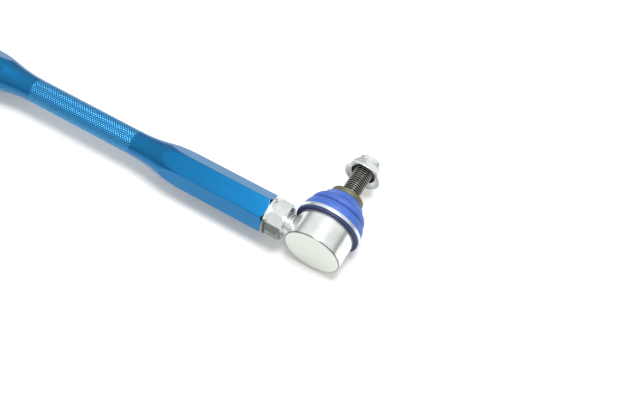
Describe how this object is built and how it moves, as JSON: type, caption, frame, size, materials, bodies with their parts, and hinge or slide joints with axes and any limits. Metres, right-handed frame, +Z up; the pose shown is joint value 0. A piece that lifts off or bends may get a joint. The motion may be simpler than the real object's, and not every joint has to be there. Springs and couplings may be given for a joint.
{
  "type": "sway bar end link",
  "caption": "Adjustable sway bar end link: a waisted hexagonal turnbuckle with a booted ball joint, threaded stud and flange nut at each end.",
  "frame": {"origin": "on the surface that the link lies on, under the middle of the whole link's box", "axes": "+X along the rod, +Y along both ball studs towards their nuts, +Z up"},
  "size_m": [0.39, 0.077, 0.043],
  "materials": {
    "anodised_blue": "blue anodised, satin",
    "zinc_plate": "bright zinc plate",
    "black_steel": "dark phosphated steel",
    "blue_rubber": "moulded blue rubber",
    "spring_steel": "bright steel band",
    "acetal": "natural acetal",
    "nylon": "natural nylon"
  },
  "bodies": {
    "right_end": {"right_housing": "zinc_plate", "right_closing_ring": "zinc_plate", "right_boot": "blue_rubber", "right_boot_clamp_ring": "spring_steel"},
    "left_end": {"left_housing": "zinc_plate", "left_closing_ring": "zinc_plate", "left_boot": "blue_rubber", "left_boot_clamp_ring": "spring_steel"},
    "washers": {"right_lock_washer": "zinc_plate", "left_lock_washer": "zinc_plate"},
    "turnbuckle": {"turnbuckle": "anodised_blue"},
    "right_seat": {"right_ball_seat": "acetal"},
    "right_swing": {"right_boot_top_ring": "spring_steel"},
    "right_stud": {"right_ball_stud": "black_steel"},
    "right_nut_insert": {"right_lock_nut_insert": "nylon"},
    "right_nut": {"right_lock_nut": "zinc_plate"},
    "right_jam_nut": {"right_jam_nut": "zinc_plate"},
    "left_seat": {"left_ball_seat": "acetal"},
    "left_swing": {"left_boot_top_ring": "spring_steel"},
    "left_stud": {"left_ball_stud": "black_steel"},
    "left_nut_insert": {"left_lock_nut_insert": "nylon"},
    "left_nut": {"left_lock_nut": "zinc_plate"},
    "left_jam_nut": {"left_jam_nut": "zinc_plate"}
  },
  "joints": [
    {"name": "body_travel", "type": "slide", "parent": "right_end", "child": "washers", "axis": [-1, 0, 0], "range_m": [-0.0003, 0.012]},
    {"name": "body_turn", "type": "hinge", "parent": "washers", "child": "turnbuckle", "pos_m": [0, -0.02614, 0.0215], "axis": [-1, 0, 0], "range_deg": [-73, 2881]},
    {"name": "length_travel", "type": "slide", "parent": "right_end", "child": "left_end", "axis": [-1, 0, 0], "range_m": [-0.0007, 0.0241]},
    {"name": "right_swing_direction", "type": "hinge", "parent": "right_end", "child": "right_seat", "pos_m": [0.1735, -0.02164, 0.0215], "axis": [0, 1, 0], "continuous": true, "deforming": ["right_boot"]},
    {"name": "right_stud_swing", "type": "hinge", "parent": "right_seat", "child": "right_swing", "pos_m": [0.1735, -0.02164, 0.0215], "axis": [1, 0, 0], "range_deg": [-22, 22], "deforming": ["right_boot"]},
    {"name": "right_stud_spin", "type": "hinge", "parent": "right_swing", "child": "right_stud", "pos_m": [0.1735, -0.02164, 0.0215], "axis": [0, 1, 0], "continuous": true},
    {"name": "right_nut_travel", "type": "slide", "parent": "right_stud", "child": "right_nut_insert", "axis": [0, 1, 0], "range_m": [-0.018, 0.027]},
    {"name": "right_nut_turn", "type": "hinge", "parent": "right_nut_insert", "child": "right_nut", "pos_m": [0.1735, 0.03386, 0.0215], "axis": [0, 1, 0], "range_deg": [-4321, 6481]},
    {"name": "right_jam_nut_back_off", "type": "slide", "parent": "turnbuckle", "child": "right_jam_nut", "axis": [1, 0, 0], "range_m": [0, 0.0004]},
    {"name": "left_swing_direction", "type": "hinge", "parent": "left_end", "child": "left_seat", "pos_m": [-0.1735, -0.02164, 0.0215], "axis": [0, 1, 0], "continuous": true, "deforming": ["left_boot"]},
    {"name": "left_stud_swing", "type": "hinge", "parent": "left_seat", "child": "left_swing", "pos_m": [-0.1735, -0.02164, 0.0215], "axis": [1, 0, 0], "range_deg": [-22, 22], "deforming": ["left_boot"]},
    {"name": "left_stud_spin", "type": "hinge", "parent": "left_swing", "child": "left_stud", "pos_m": [-0.1735, -0.02164, 0.0215], "axis": [0, 1, 0], "continuous": true},
    {"name": "left_nut_travel", "type": "slide", "parent": "left_stud", "child": "left_nut_insert", "axis": [0, 1, 0], "range_m": [-0.018, 0.027]},
    {"name": "left_nut_turn", "type": "hinge", "parent": "left_nut_insert", "child": "left_nut", "pos_m": [-0.1735, 0.03386, 0.0215], "axis": [0, 1, 0], "range_deg": [-4321, 6481]},
    {"name": "left_jam_nut_back_off", "type": "slide", "parent": "turnbuckle", "child": "left_jam_nut", "axis": [-1, 0, 0], "range_m": [0, 0.0004]}
  ],
  "couplings": [
    {"joint": "body_turn", "follows": "body_travel", "rad_per_m": 4188.8},
    {"joint": "length_travel", "follows": "body_travel", "ratio": 2},
    {"joint": "right_nut_turn", "follows": "right_nut_travel", "rad_per_m": 4188.8},
    {"joint": "left_nut_turn", "follows": "left_nut_travel", "rad_per_m": 4188.8}
  ]
}
